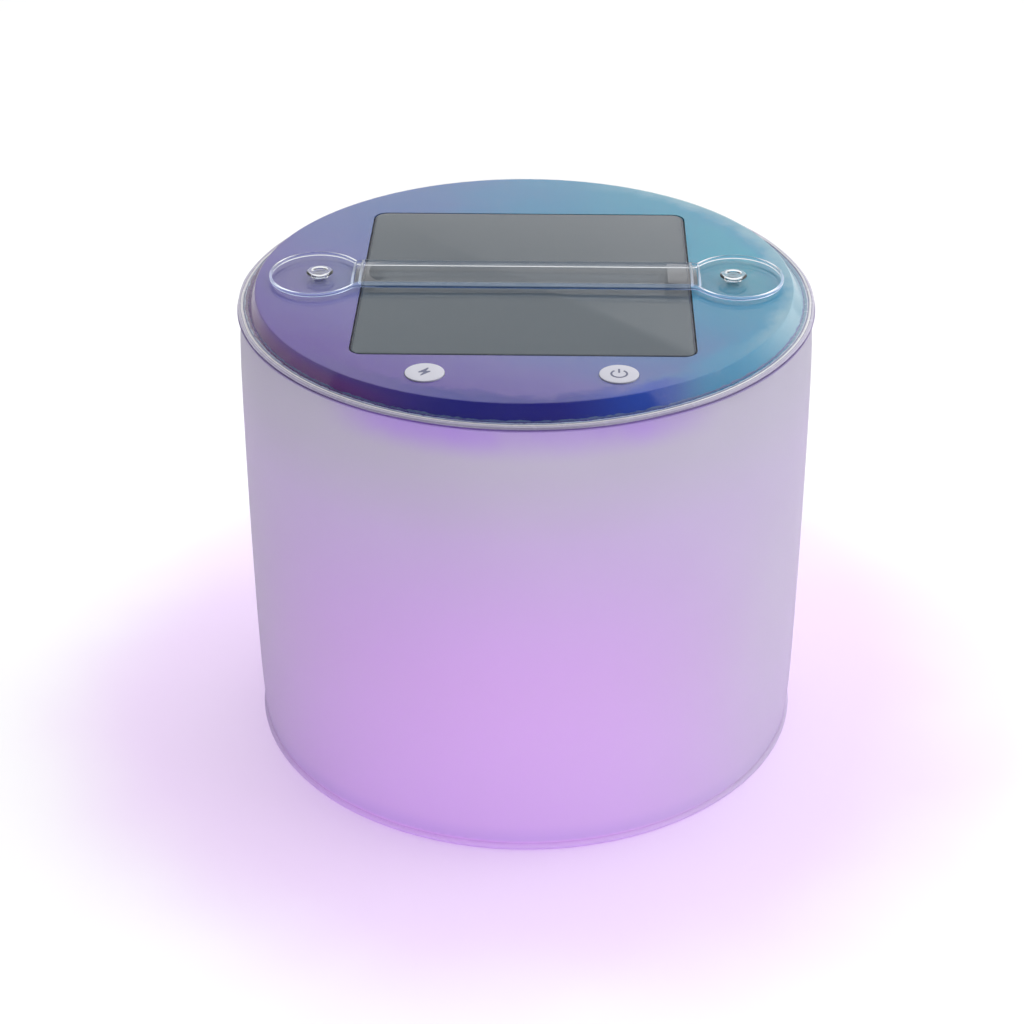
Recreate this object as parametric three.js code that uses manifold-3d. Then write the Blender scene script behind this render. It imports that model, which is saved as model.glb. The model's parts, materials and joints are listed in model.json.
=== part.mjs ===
// Inflatable solar camping lantern: a frosted film drum with a solar-powered light pod welded into its top
// and an inflation valve in its base. Millimetres, +Z up, origin at the centre of the base, on the ground.
// The front, with its two buttons, faces -Y. The carrying strap runs along X.
import * as THREE from "three";
import { mergeVertices } from "three/addons/utils/BufferGeometryUtils.js";
import Module from "manifold-3d";

const wasm = await Module();
wasm.setup();

// ---- driving dimensions ----
const FLANGE_RADIUS = 63.4; // outer radius of the upper weld flange and of the bottom bead
const FLANGE_WIDTH = 1.9;
const HEM = { inner: 59.9, bead: 1.5 }; // of the wall's foot: inner radius, and its bead's height
const WALL_RADIUS = 63.7; // at the fullest height of the inflated drum
const WALL_BARREL = 0.45; // how much narrower the drum is at its ends
const WALL_PINCH = 0.9; // how far each seam draws the wall in
const PINCH_HEIGHT = 5; // over which the wall fills out again
const FILM = 0.4; // wall and cover film
const WELD_GAP = 0.05; // between welded layers
const DECK_HEIGHT = 108.7; // top of the clear cover film
const FLANGE_HEIGHT = 105.2; // top of the upper weld flange
const SHOULDER = { bend: 0.9, slope: 57 }; // of the deck's edge: bend radius, and slope in degrees
const ROUND = 60; // segments of the large circles
const SMALL_ROUND = 24; // segments of the small circles
const FIT = 0.1; // clearance between neighbouring pieces

// ---- heights worked out from them ----
const COVER_INSIDE = DECK_HEIGHT - FILM;
const DECK_TOP = COVER_INSIDE - FIT;
const DECK_THICKNESS = 0.9;
const DECK_INSIDE = DECK_TOP - DECK_THICKNESS;
const SEPTUM_FILM = 0.3;
const SEPTUM_FLANGE_TOP = FLANGE_HEIGHT - FILM - WELD_GAP;
const WALL_TOP = SEPTUM_FLANGE_TOP - SEPTUM_FILM - WELD_GAP;

// ---- light pod ----
const PANEL = { width: 71.6, length: 74.2, thickness: 2, corner: 3 };
const PANEL_CLEARANCE = 0.3;
const PANEL_BOTTOM = DECK_TOP - PANEL.thickness;
const CARRIER_THICKNESS = 1;
const TAPE_THICKNESS = 0.4;
const CARRIER_TOP = PANEL_BOTTOM - TAPE_THICKNESS - 2 * WELD_GAP;
const CARRIER_BOTTOM = CARRIER_TOP - CARRIER_THICKNESS;
const TRAY = { radius: 56.8, wall: 1.3, floor: 1.2, bottom: 95.6 };
const BOARD = { radius: 54.6, thickness: 1.6, bottom: 98 };
const BOARD_TOP = BOARD.bottom + BOARD.thickness;
const SCREW = { circle: 49, shaft: 0.9, head: 2, headHeight: 1.2, tip: 96.3, count: 4 };
const BOSS_RADIUS = 2.6;
const LED = { size: 5, height: 1.5, circle: 38, count: 8, window: 4.2 };
const DIFFUSER = { inner: 31, outer: 45, thickness: 0.6 };
const SEPTUM = { radius: 58.9, bottom: 94.5, corner: 1 };
const BATTERY = { length: 50, width: 34, height: 4.2 };
const BATTERY_BOTTOM = BOARD_TOP + 0.5;
const LEAD_RADIUS = 0.6;
const CHARGE_LED = { y: -42, pitch: 3 };

// ---- buttons ----
const BUTTON = { x: 19.7, y: -45.8, radius: 4.2, clearance: 0.25, thickness: 1.1, stem: 1.5 };
const BUTTON_TRAVEL = 0.5;
const SWITCH = { size: 5, height: 2, plunger: 1.2, well: 1.5, wellDepth: 1 };
const PLUNGER_RISE = 1; // of the plunger above its housing when released

// ---- strap ----
const STRAP = { width: 12.2, thickness: 1.3, bottom: 108.85 };
const PAD = { inner: 37.6, centre: 46.2, reach: 10.3, halfWidth: 11.4, thickness: 0.85 };
const PAD_TOP = STRAP.bottom + PAD.thickness;
const STUD = { x: 45.4, head: 2.95, headTop: 110.2, neck: 2.1, socket: 1.5, post: 1.35, dimple: 1.3 };

// ---- base and valve ----
const BASE_FILM = 0.6;
const BASE_RISE = 2; // of the middle of the base above the ground
const VALVE = { y: 36, opening: 6.2, flange: 12, flangeThickness: 0.8 };
const VALVE_FLANGE_BOTTOM = BASE_RISE + BASE_FILM + FIT;
const STEM = { outer: 5.8, bore: 3.7, bottom: 1.6, top: 10.2, lip: 7, lipThickness: 0.6 };
const PLUG = { head: 5.5, headBottom: 0.3, headThickness: 1.2, root: 3.3, tip: 2.8, depth: 2.5 };
const TETHER = { width: 3, thickness: 1.1, reach: 7.5 };
const FLAP = { radius: 4.5, thickness: 0.4 };

// ---- helpers ----
// A solid of revolution about Z. The profile is [radius, height] pairs, anticlockwise with
// the radius to the right.
function turned(profile, segments = ROUND) {
  const points = profile.map(([r, z]) => new THREE.Vector2(r, z));
  if (points[0].x > 0) points.push(points[0].clone());
  return new THREE.LatheGeometry(points, segments).rotateX(Math.PI / 2);
}

// Points of an arc about [r, z], from one angle to another, in degrees.
function arc(r, z, radius, from, to, steps = 4) {
  return Array.from({ length: steps + 1 }, (_, i) => {
    const a = THREE.MathUtils.degToRad(from + ((to - from) * i) / steps);
    return [r + radius * Math.cos(a), z + radius * Math.sin(a)];
  });
}

function block(width, length, height, x, y, bottom) {
  return new THREE.BoxGeometry(width, length, height).translate(x, y, bottom + height / 2);
}

function disc(radius, height, x, y, bottom, segments = SMALL_ROUND) {
  return new THREE.CylinderGeometry(radius, radius, height, segments)
    .rotateX(Math.PI / 2)
    .translate(x, y, bottom + height / 2);
}

function roundedRectangle(width, length, corner, Kind = THREE.Shape) {
  const [x, y] = [width / 2 - corner, length / 2 - corner];
  return new Kind()
    .absarc(x, y, corner, 0, Math.PI / 2)
    .absarc(-x, y, corner, Math.PI / 2, Math.PI)
    .absarc(-x, -y, corner, Math.PI, 1.5 * Math.PI)
    .absarc(x, -y, corner, 1.5 * Math.PI, 2 * Math.PI);
}

function extruded(shape, height, bottom, curveSegments = 4) {
  const settings = { depth: height, bevelEnabled: false, curveSegments };
  return new THREE.ExtrudeGeometry(shape, settings).translate(0, 0, bottom);
}

function circlePath(radius, x = 0, y = 0) {
  return new THREE.Path().absarc(x, y, radius, 0, 2 * Math.PI, true);
}

// A wire of round section through the given points.
function wire(points, radius, steps) {
  const route = new THREE.CatmullRomCurve3(points.map((p) => new THREE.Vector3(...p)));
  const section = new THREE.Shape().absarc(0, 0, radius, 0, 2 * Math.PI);
  const settings = { steps, extrudePath: route, curveSegments: 4 };
  return new THREE.ExtrudeGeometry(section, settings);
}

function solidOf(geometry) {
  const bare = geometry.clone();
  bare.deleteAttribute("normal");
  bare.deleteAttribute("uv");
  const merged = mergeVertices(bare, 1e-4);
  const corners = merged.index.array;
  const kept = [];
  for (let i = 0; i < corners.length; i += 3) {
    const [a, b, c] = corners.slice(i, i + 3);
    if (a !== b && b !== c && c !== a) kept.push(a, b, c);
  }
  const vertProperties = new Float32Array(merged.attributes.position.array);
  const triVerts = new Uint32Array(kept);
  return new wasm.Manifold(new wasm.Mesh({ numProp: 3, vertProperties, triVerts }));
}

function geometryOf(solid) {
  const mesh = solid.getMesh();
  const geometry = new THREE.BufferGeometry();
  geometry.setAttribute("position", new THREE.BufferAttribute(mesh.vertProperties, 3));
  geometry.setIndex(new THREE.BufferAttribute(mesh.triVerts, 1));
  const faceted = geometry.toNonIndexed();
  faceted.computeVertexNormals();
  return faceted;
}

function cut(geometry, ...cutters) {
  return geometryOf(cutters.reduce((left, c) => left.subtract(solidOf(c)), solidOf(geometry)));
}

function joined(geometry, ...others) {
  return geometryOf(others.reduce((whole, o) => whole.add(solidOf(o)), solidOf(geometry)));
}

function around(count, radius, startDegrees = 0) {
  return Array.from({ length: count }, (_, i) => {
    const a = THREE.MathUtils.degToRad(startDegrees + (360 * i) / count);
    return [radius * Math.cos(a), radius * Math.sin(a)];
  });
}

// ---- materials ----
function plastic(color, roughness, opacity = 1) {
  const transparent = opacity < 1;
  return new THREE.MeshStandardMaterial({ color, roughness, metalness: 0, opacity, transparent });
}
function metal(color, roughness) {
  return new THREE.MeshStandardMaterial({ color, roughness, metalness: 1 });
}
const frostedFilm = plastic(0xc8b0e4, 0.6);
const clearFilm = plastic(0xe8eef6, 0.1, 0.3);
const printedDeck = plastic(0x6f78b8, 0.4);
const solarGrey = plastic(0x6b757d, 0.45);
const whitePlastic = plastic(0xf0f0ee, 0.5);
const buttonWhite = plastic(0xd8d6e4, 0.45);
const boardGreen = plastic(0x1f6b3f, 0.5);
const blackPlastic = plastic(0x1c1c1e, 0.5);
const foilSilver = metal(0xc4c7ca, 0.35);
const steel = metal(0xb8babd, 0.3);
const ledWhite = plastic(0xf7f3d8, 0.3);
const redLead = plastic(0xb3221f, 0.4);
const foam = plastic(0x35363a, 0.9);

const lantern = new THREE.Group();
lantern.name = "camping_lantern";
const screwPlaces = around(SCREW.count, SCREW.circle, 45);

function add(name, geometry, material, parent = lantern) {
  const mesh = new THREE.Mesh(geometry, material);
  mesh.name = name;
  parent.add(mesh);
  return mesh;
}

// ---- inflatable drum ----
function wallRadius(z) {
  const middle = WALL_TOP / 2;
  const barrel = WALL_BARREL * ((z - middle) / middle) ** 2;
  const pinch = Math.exp(-z / PINCH_HEIGHT) + Math.exp(-(WALL_TOP - z) / PINCH_HEIGHT);
  return WALL_RADIUS - barrel - WALL_PINCH * pinch;
}

// The wall ends in a weld flange at the top, and at the bottom in a bead and a hem that is
// tucked under the base film.
function sideWall() {
  const flangeInner = FLANGE_RADIUS - FLANGE_WIDTH;
  const high = WALL_TOP - FILM;
  const steps = [0, 0.03, 0.08, 0.2, 0.5, 0.8, 0.92, 0.97, 1];
  const heights = steps.map((s) => HEM.bead + s * (high - HEM.bead));
  const outside = heights.map((z) => [wallRadius(z), z]);
  const inside = heights.map((z) => [wallRadius(z) - FILM, z]).reverse();
  return turned([
    [HEM.inner, 0],
    [FLANGE_RADIUS - 0.2, 0],
    [FLANGE_RADIUS, 0.2],
    [FLANGE_RADIUS, HEM.bead],
    ...outside,
    [FLANGE_RADIUS, high],
    [FLANGE_RADIUS, WALL_TOP],
    [flangeInner, WALL_TOP],
    [flangeInner, high],
    ...inside,
    [wallRadius(HEM.bead) - FILM, FILM],
    [HEM.inner, FILM],
  ]);
}

function baseFilm() {
  const [low, lip] = [FILM + WELD_GAP, HEM.inner - 2];
  const edge = wallRadius(HEM.bead) - FILM - FIT;
  const sheet = turned([
    [0, BASE_RISE],
    [lip, BASE_RISE],
    [HEM.inner, low],
    [edge, low],
    [edge, low + BASE_FILM],
    [HEM.inner - 0.3, low + BASE_FILM],
    [lip - 0.3, BASE_RISE + BASE_FILM],
    [0, BASE_RISE + BASE_FILM],
  ]);
  return cut(sheet, disc(VALVE.opening, 4, 0, VALVE.y, BASE_RISE - 1));
}

// ---- valve, built about its own axis ----
function valveFlange() {
  const bottom = VALVE_FLANGE_BOTTOM;
  const top = bottom + VALVE.flangeThickness;
  const ring = [
    [VALVE.opening, bottom],
    [VALVE.flange, bottom],
    [VALVE.flange - 0.4, top],
    [VALVE.opening, top],
  ];
  return turned(ring, SMALL_ROUND);
}

function valveStem() {
  const lipBottom = STEM.top - STEM.lipThickness;
  const tube = turned(
    [
      [STEM.bore, STEM.bottom],
      [STEM.outer, STEM.bottom],
      [STEM.outer, lipBottom],
      [STEM.lip, lipBottom],
      [STEM.lip, STEM.top],
      [STEM.bore, STEM.top],
    ],
    SMALL_ROUND,
  );
  const tabThickness = 0.3;
  const tabLength = TETHER.reach - STEM.bore - 1;
  const tab = block(TETHER.width, tabLength, tabThickness, 0, TETHER.reach - tabLength / 2, STEM.bottom);
  return joined(tube, tab);
}

function valvePlug() {
  const headTop = PLUG.headBottom + PLUG.headThickness;
  const stopper = turned(
    [
      [0, PLUG.headBottom],
      [PLUG.head - 0.4, PLUG.headBottom],
      [PLUG.head, PLUG.headBottom + 0.4],
      [PLUG.head, headTop],
      [PLUG.root, headTop],
      [PLUG.tip, headTop + PLUG.depth],
      [0, headTop + PLUG.depth],
    ],
    SMALL_ROUND,
  );
  const length = TETHER.reach - PLUG.tip;
  const middle = TETHER.reach - length / 2;
  const tether = block(TETHER.width, length, TETHER.thickness, 0, middle, PLUG.headBottom);
  return joined(stopper, tether);
}

function valveFlap() {
  return disc(FLAP.radius, FLAP.thickness, 0, 0, STEM.top + FIT);
}

// ---- top films and printed deck ----
// The deck's edge, from its flat top down to the flange's level, at a depth below the outer surface.
function shoulder(depth) {
  const slope = THREE.MathUtils.degToRad(SHOULDER.slope);
  const foot = FLANGE_RADIUS - FLANGE_WIDTH;
  const corner = foot - (DECK_HEIGHT - FLANGE_HEIGHT) / Math.tan(slope);
  const mitre = Math.tan(slope / 2);
  const bend = SHOULDER.bend - depth;
  const centre = [corner - SHOULDER.bend * mitre, DECK_HEIGHT - SHOULDER.bend];
  const sharp = [[corner - depth * mitre, DECK_HEIGHT - depth]];
  const turn = bend > 0 ? arc(...centre, bend, 90, 90 - SHOULDER.slope) : sharp;
  return [...turn, [foot - depth / Math.sin(slope), FLANGE_HEIGHT]];
}

function coverFilm() {
  const inside = shoulder(FILM);
  const [foot] = inside.at(-1);
  const dome = turned([
    [0, COVER_INSIDE],
    ...inside,
    [foot, FLANGE_HEIGHT - FILM],
    [FLANGE_RADIUS, FLANGE_HEIGHT - FILM],
    [FLANGE_RADIUS, FLANGE_HEIGHT],
    ...shoulder(0).reverse(),
    [0, DECK_HEIGHT],
  ]);
  return cut(dome, ...buttonHoles(BUTTON.radius + BUTTON.clearance, COVER_INSIDE - 1, 3));
}

function buttonHoles(radius, bottom, height) {
  return [-1, 1].map((side) => disc(radius, height, side * BUTTON.x, BUTTON.y, bottom));
}

function printedDeckShell() {
  const outside = FILM + FIT;
  const shell = turned([
    [0, DECK_INSIDE],
    ...shoulder(outside + DECK_THICKNESS),
    ...shoulder(outside).reverse(),
    [0, DECK_TOP],
  ]);
  const opening = roundedRectangle(
    PANEL.width + 2 * PANEL_CLEARANCE,
    PANEL.length + 2 * PANEL_CLEARANCE,
    PANEL.corner,
  );
  const window = extruded(opening, 4, DECK_INSIDE - 2);
  return cut(shell, window, ...buttonHoles(BUTTON.radius + BUTTON.clearance, DECK_INSIDE - 1, 3));
}

function solarPanel() {
  const outline = roundedRectangle(PANEL.width, PANEL.length, PANEL.corner);
  return extruded(outline, PANEL.thickness, PANEL_BOTTOM);
}

function panelTape() {
  const border = 6;
  const outline = roundedRectangle(PANEL.width - 2, PANEL.length - 2, PANEL.corner);
  outline.holes.push(roundedRectangle(PANEL.width - 2 * border, PANEL.length - 2 * border, 2, THREE.Path));
  return extruded(outline, TAPE_THICKNESS, CARRIER_TOP + WELD_GAP);
}

function septumFilm() {
  const { radius, bottom, corner } = SEPTUM;
  const inner = radius - SEPTUM_FILM;
  return turned([
    [0, bottom],
    ...arc(radius - corner, bottom + corner, corner, -90, 0, 4),
    [radius, SEPTUM_FLANGE_TOP - SEPTUM_FILM],
    [FLANGE_RADIUS, SEPTUM_FLANGE_TOP - SEPTUM_FILM],
    [FLANGE_RADIUS, SEPTUM_FLANGE_TOP],
    [inner, SEPTUM_FLANGE_TOP],
    ...arc(radius - corner, bottom + corner, corner - SEPTUM_FILM, 0, -90, 4),
    [0, bottom + SEPTUM_FILM],
  ]);
}

// ---- electronics ----
const LEAD_SLOT = { x: -10, y: 27, width: 8, length: 4 };

function tray() {
  const { radius, wall, floor, bottom } = TRAY;
  const rim = DECK_INSIDE - FIT;
  const dish = turned([
    [0, bottom],
    [radius - 1, bottom],
    [radius, bottom + 1],
    [radius, rim],
    [radius - wall, rim],
    [radius - wall, bottom + floor],
    [0, bottom + floor],
  ]);
  const bossTop = BOARD.bottom - FIT;
  const bossBottom = bottom + floor / 2;
  const boss = ([x, y]) => disc(BOSS_RADIUS, bossTop - bossBottom, x, y, bossBottom, 16);
  const bosses = screwPlaces.map(boss);
  const windows = around(LED.count, LED.circle).map(([x, y]) => disc(LED.window, 4, x, y, bottom - 1, 16));
  const pilots = screwPlaces.map(([x, y]) => disc(SCREW.shaft + 0.15, 3, x, y, SCREW.tip - 0.2, 12));
  return cut(joined(dish, ...bosses), ...windows, ...pilots);
}

function ledDiffuser() {
  const { inner, outer, thickness } = DIFFUSER;
  const bottom = TRAY.bottom - FIT - thickness;
  return turned([
    [inner, bottom],
    [outer, bottom],
    [outer, bottom + thickness],
    [inner, bottom + thickness],
  ]);
}

function mainBoard() {
  const board = disc(BOARD.radius, BOARD.thickness, 0, 0, BOARD.bottom, 48);
  const clearance = screwPlaces.map(([x, y]) => disc(SCREW.shaft + 0.2, 4, x, y, BOARD.bottom - 1, 12));
  return cut(board, ...clearance);
}

function panelCarrier() {
  const plate = disc(TRAY.radius - TRAY.wall - 0.3, CARRIER_THICKNESS, 0, 0, CARRIER_BOTTOM, 48);
  const slot = block(LEAD_SLOT.width, LEAD_SLOT.length, 4, LEAD_SLOT.x, LEAD_SLOT.y, CARRIER_BOTTOM - 1);
  const guides = buttonHoles(BUTTON.stem + BUTTON.clearance, CARRIER_BOTTOM - 1, 4);
  return cut(plate, slot, ...guides);
}

function boardScrew(x, y) {
  const headBottom = BOARD_TOP + WELD_GAP;
  const profile = [
    [0, SCREW.tip],
    [SCREW.shaft, SCREW.tip + 0.4],
    [SCREW.shaft, headBottom],
    [SCREW.head, headBottom],
    [SCREW.head, headBottom + SCREW.headHeight * 0.6],
    [SCREW.head * 0.6, headBottom + SCREW.headHeight],
    [0, headBottom + SCREW.headHeight],
  ];
  const body = turned(profile, 12).translate(x, y, 0);
  const slotBottom = headBottom + SCREW.headHeight * 0.5;
  const arms = [
    block(2.2, 0.5, 2, x, y, slotBottom),
    block(0.5, 2.2, 2, x, y, slotBottom),
  ];
  return cut(body, ...arms);
}

// Each lamp is a square package with a round lens on its lower face.
function lamp(x, y) {
  const top = BOARD.bottom - WELD_GAP;
  const bodyHeight = 1;
  const lens = disc(1.9, LED.height - bodyHeight, x, y, top - LED.height, 16);
  return joined(block(LED.size, LED.size, bodyHeight, x, y, top - bodyHeight), lens);
}

function battery() {
  const outline = roundedRectangle(BATTERY.length, BATTERY.width, 2.5);
  return extruded(outline, BATTERY.height, BATTERY_BOTTOM);
}

const CONNECTOR = { x: 33, y: 0, width: 5, length: 7, height: 3.4 };

// Both battery leads leave the cell's end and run down into the side of the connector.
function batteryLead(side) {
  const y = side * 1.6;
  const start = BATTERY.length / 2 + 0.3;
  const end = CONNECTOR.x - CONNECTOR.width / 2 - 0.3;
  const high = BATTERY_BOTTOM + 2.6;
  const low = BOARD_TOP + CONNECTOR.height / 2;
  const route = [
    [start, y, high],
    [start + 1.4, y, high - 0.1],
    [end - 1.4, y, low + 0.1],
    [end, y, low],
  ];
  return wire(route, LEAD_RADIUS, 8);
}

// Both panel leads drop from the back of the solar panel to the board through the carrier's slot.
function panelLead(side) {
  const x = LEAD_SLOT.x + side * 2;
  const top = PANEL_BOTTOM - 0.3;
  const foot = BOARD_TOP + 0.3;
  return wire(
    [
      [x, LEAD_SLOT.y, top],
      [x, LEAD_SLOT.y, (top + foot) / 2 + 1],
      [x + side, LEAD_SLOT.y + 1.5, (top + foot) / 2 - 1],
      [x + side, LEAD_SLOT.y + 1.5, foot],
    ],
    LEAD_RADIUS,
    8,
  );
}

// ---- buttons: a cap flush with the cover, a stem through the carrier, and a switch on the board ----
const SWITCH_TOP = BOARD_TOP + WELD_GAP + SWITCH.height;
const STEM_FOOT = SWITCH_TOP + PLUNGER_RISE + WELD_GAP;

function buttonCap(x) {
  const bottom = DECK_HEIGHT - BUTTON.thickness;
  const profile = [
    [0, STEM_FOOT],
    [BUTTON.stem, STEM_FOOT],
    [BUTTON.stem, bottom],
    [BUTTON.radius, bottom],
    [BUTTON.radius, DECK_HEIGHT - 0.2],
    [BUTTON.radius - 0.2, DECK_HEIGHT],
    [0, DECK_HEIGHT],
  ];
  return turned(profile, SMALL_ROUND).translate(x, BUTTON.y, 0);
}

function switchBody(x) {
  const housing = block(SWITCH.size, SWITCH.size, SWITCH.height, x, BUTTON.y, BOARD_TOP + WELD_GAP);
  return cut(housing, disc(SWITCH.well, 3, x, BUTTON.y, SWITCH_TOP - SWITCH.wellDepth, 16));
}

function switchPlunger(x) {
  const bottom = SWITCH_TOP - SWITCH.wellDepth + BUTTON_TRAVEL + 0.1;
  return disc(SWITCH.plunger, SWITCH_TOP + PLUNGER_RISE - bottom, x, BUTTON.y, bottom, 16);
}

// ---- strap: one end riveted down, the other snapped on a post ----
// The right-hand pad: an oval with its inner side cut square where the band begins.
function padShape() {
  const start = Math.acos((PAD.inner - PAD.centre) / PAD.reach);
  const { centre, reach, halfWidth } = PAD;
  const shape = new THREE.Shape();
  shape.absellipse(centre, 0, reach, halfWidth, -start, start, false);
  shape.holes.push(circlePath(STUD.neck + FIT, STUD.x, 0));
  return shape;
}

function pad() {
  return extruded(padShape(), PAD.thickness, STRAP.bottom, 16);
}

function anchorPad() {
  return pad().rotateZ(Math.PI);
}

function strapBand() {
  const start = 0.15 - PAD.inner;
  const length = PAD.inner - start + 1;
  const band = block(length, STRAP.width, STRAP.thickness, start + length / 2, 0, STRAP.bottom);
  return joined(band, pad());
}

function studCap(x) {
  const { head, headTop, neck, socket, dimple } = STUD;
  const seat = PAD_TOP + WELD_GAP;
  const profile = [
    [socket, STRAP.bottom],
    [neck, STRAP.bottom],
    [neck, seat],
    [head, seat],
    [head, seat + 0.15],
    [head - 0.5, headTop - 0.05],
    [head - 1, headTop],
    [dimple, headTop],
    [dimple - 0.2, headTop - 0.2],
    [0, headTop - 0.2],
    [0, seat],
    [socket, seat],
  ];
  return turned(profile, SMALL_ROUND).translate(x, 0, 0);
}

function studPost(x) {
  const bottom = DECK_HEIGHT + WELD_GAP;
  return disc(STUD.post, PAD_TOP - 0.2 - bottom, x, 0, bottom, 16);
}

// ---- assembly ----
add("side_wall", sideWall(), frostedFilm);
add("base_film", baseFilm(), frostedFilm);

const valve = new THREE.Group();
valve.position.set(0, VALVE.y, 0);
lantern.add(valve);
add("valve_flange", valveFlange(), clearFilm, valve);
add("valve_stem", valveStem(), clearFilm, valve);
add("valve_plug", valvePlug(), clearFilm, valve);
add("valve_flap", valveFlap(), clearFilm, valve);

add("cover_film", coverFilm(), clearFilm);
add("printed_deck", printedDeckShell(), printedDeck);
add("solar_panel", solarPanel(), solarGrey);
add("panel_tape", panelTape(), foam);
add("panel_carrier", panelCarrier(), whitePlastic);
add("electronics_tray", tray(), whitePlastic);
add("led_diffuser", ledDiffuser(), clearFilm);
add("septum_film", septumFilm(), clearFilm);

add("main_board", mainBoard(), boardGreen);
around(LED.count, LED.circle).forEach(([x, y], i) => add(`lamp_led_${i + 1}`, lamp(x, y), ledWhite));
screwPlaces.forEach(([x, y], i) => add(`board_screw_${i + 1}`, boardScrew(x, y), steel));
add("battery_cell", battery(), foilSilver);
add("battery_pad", block(44, 28, 0.4, 0, 0, BOARD_TOP + WELD_GAP), foam);
add(
  "battery_connector",
  block(CONNECTOR.width, CONNECTOR.length, CONNECTOR.height, CONNECTOR.x, CONNECTOR.y, BOARD_TOP + WELD_GAP),
  whitePlastic,
);
add("battery_lead_positive", batteryLead(1), redLead);
add("battery_lead_negative", batteryLead(-1), blackPlastic);
add("panel_lead_positive", panelLead(1), redLead);
add("panel_lead_negative", panelLead(-1), blackPlastic);
add("microcontroller", block(7, 7, 1, 0, -29, BOARD_TOP + WELD_GAP), blackPlastic);
add("charge_regulator", block(5, 4, 1.5, -12, -29, BOARD_TOP + WELD_GAP), blackPlastic);
add("charge_inductor", disc(3, 3, 12, -29, BOARD_TOP + WELD_GAP, 16), foam);
for (const i of [0, 1, 2]) {
  const x = -BUTTON.x - 5.5 - i * CHARGE_LED.pitch;
  const chip = block(2, 1.25, 0.8, x, CHARGE_LED.y, BOARD_TOP + WELD_GAP);
  add(`charge_level_led_${i + 1}`, chip, ledWhite);
}

for (const [name, x] of [["charge_check", -BUTTON.x], ["power", BUTTON.x]]) {
  add(`${name}_button`, buttonCap(x), buttonWhite);
  add(`${name}_switch`, switchBody(x), blackPlastic);
  add(`${name}_plunger`, switchPlunger(x), steel);
}

add("strap_anchor_pad", anchorPad(), clearFilm);
add("strap_band", strapBand(), clearFilm);
add("anchor_rivet", studCap(-STUD.x), clearFilm);
add("anchor_post", studPost(-STUD.x), clearFilm);
add("snap_cap", studCap(STUD.x), clearFilm);
add("snap_post", studPost(STUD.x), clearFilm);

export default lantern;
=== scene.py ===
"""A lit inflatable solar lantern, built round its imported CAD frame.

Metres, +Z up, the front towards -Y.
"""
import json
import math

import bmesh
import bpy
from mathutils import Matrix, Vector, noise


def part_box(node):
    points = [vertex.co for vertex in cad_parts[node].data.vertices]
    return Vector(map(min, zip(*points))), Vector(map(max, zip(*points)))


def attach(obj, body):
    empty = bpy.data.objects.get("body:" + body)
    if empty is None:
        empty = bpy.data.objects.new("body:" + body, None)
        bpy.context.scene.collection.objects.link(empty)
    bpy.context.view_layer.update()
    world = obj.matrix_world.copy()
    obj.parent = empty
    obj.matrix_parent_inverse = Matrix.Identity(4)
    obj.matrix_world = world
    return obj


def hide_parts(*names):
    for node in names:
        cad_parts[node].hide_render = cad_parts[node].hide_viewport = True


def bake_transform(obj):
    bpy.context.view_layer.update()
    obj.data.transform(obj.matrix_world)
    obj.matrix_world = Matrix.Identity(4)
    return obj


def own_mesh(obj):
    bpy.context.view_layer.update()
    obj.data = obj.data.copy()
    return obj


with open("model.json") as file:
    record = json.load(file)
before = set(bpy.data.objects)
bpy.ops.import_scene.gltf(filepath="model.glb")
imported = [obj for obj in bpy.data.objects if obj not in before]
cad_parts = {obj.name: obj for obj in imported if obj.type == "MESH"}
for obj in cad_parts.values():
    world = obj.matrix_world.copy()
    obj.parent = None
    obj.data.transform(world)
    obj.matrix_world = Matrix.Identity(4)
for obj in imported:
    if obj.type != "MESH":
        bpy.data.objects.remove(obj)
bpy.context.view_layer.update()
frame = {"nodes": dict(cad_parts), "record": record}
MM = 0.001

# ---- camera: where it aims, how far off it is and from which side, and its lens ----
CAMERA_AIM = Vector((0, 0, 49.17 * MM))
CAMERA_DISTANCE = 529.5 * MM
CAMERA_AZIMUTH = math.radians(1.12)
CAMERA_ELEVATION = math.radians(30.26)
CAMERA_LENS = 79.92
CAMERA_SHIFT = -0.0139

# ---- sizes taken from the frame ----
WALL_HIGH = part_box("side_wall")[1]
COVER_LOW, COVER_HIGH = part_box("cover_film")
DECK_LOW, DECK_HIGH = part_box("printed_deck")
SEPTUM_LOW, SEPTUM_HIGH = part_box("septum_film")
PANEL_LOW, PANEL_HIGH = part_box("solar_panel")
BASE_LOW, BASE_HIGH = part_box("base_film")
BAND_LOW, BAND_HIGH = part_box("strap_band")
PAD_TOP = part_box("strap_anchor_pad")[1].z

# ---- sizes shared by several pieces ----
FILM = 0.4 * MM
SEPTUM_FILM = 0.3 * MM
RIM_RADIUS = COVER_HIGH.x
RIM_WIDTH = 1.9 * MM
RIM_TOP = COVER_LOW.z + FILM
RIM_BOTTOM = SEPTUM_HIGH.z - SEPTUM_FILM
DOME_RADIUS = RIM_RADIUS - RIM_WIDTH
SHOULDER_BEND = 0.9 * MM
SHOULDER_SLOPE = math.radians(57)
PANEL_CORNER = 3 * MM
VALVE_OPENING = 6.2 * MM
LENS_TOP = 97 * MM
ROUND_SEGMENTS = 240


# ---- mesh helpers ----
def make_object(name, mesh):
    piece = bpy.data.objects.new(name, mesh)
    bpy.context.scene.collection.objects.link(piece)
    return piece


def object_from(name, vertices, faces):
    mesh = bpy.data.meshes.new(name)
    mesh.from_pydata(vertices, [], faces)
    tidy = bmesh.new()
    tidy.from_mesh(mesh)
    bmesh.ops.remove_doubles(tidy, verts=tidy.verts, dist=1e-7)
    bmesh.ops.recalc_face_normals(tidy, faces=tidy.faces)
    tidy.to_mesh(mesh)
    tidy.free()
    return make_object(name, mesh)


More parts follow.
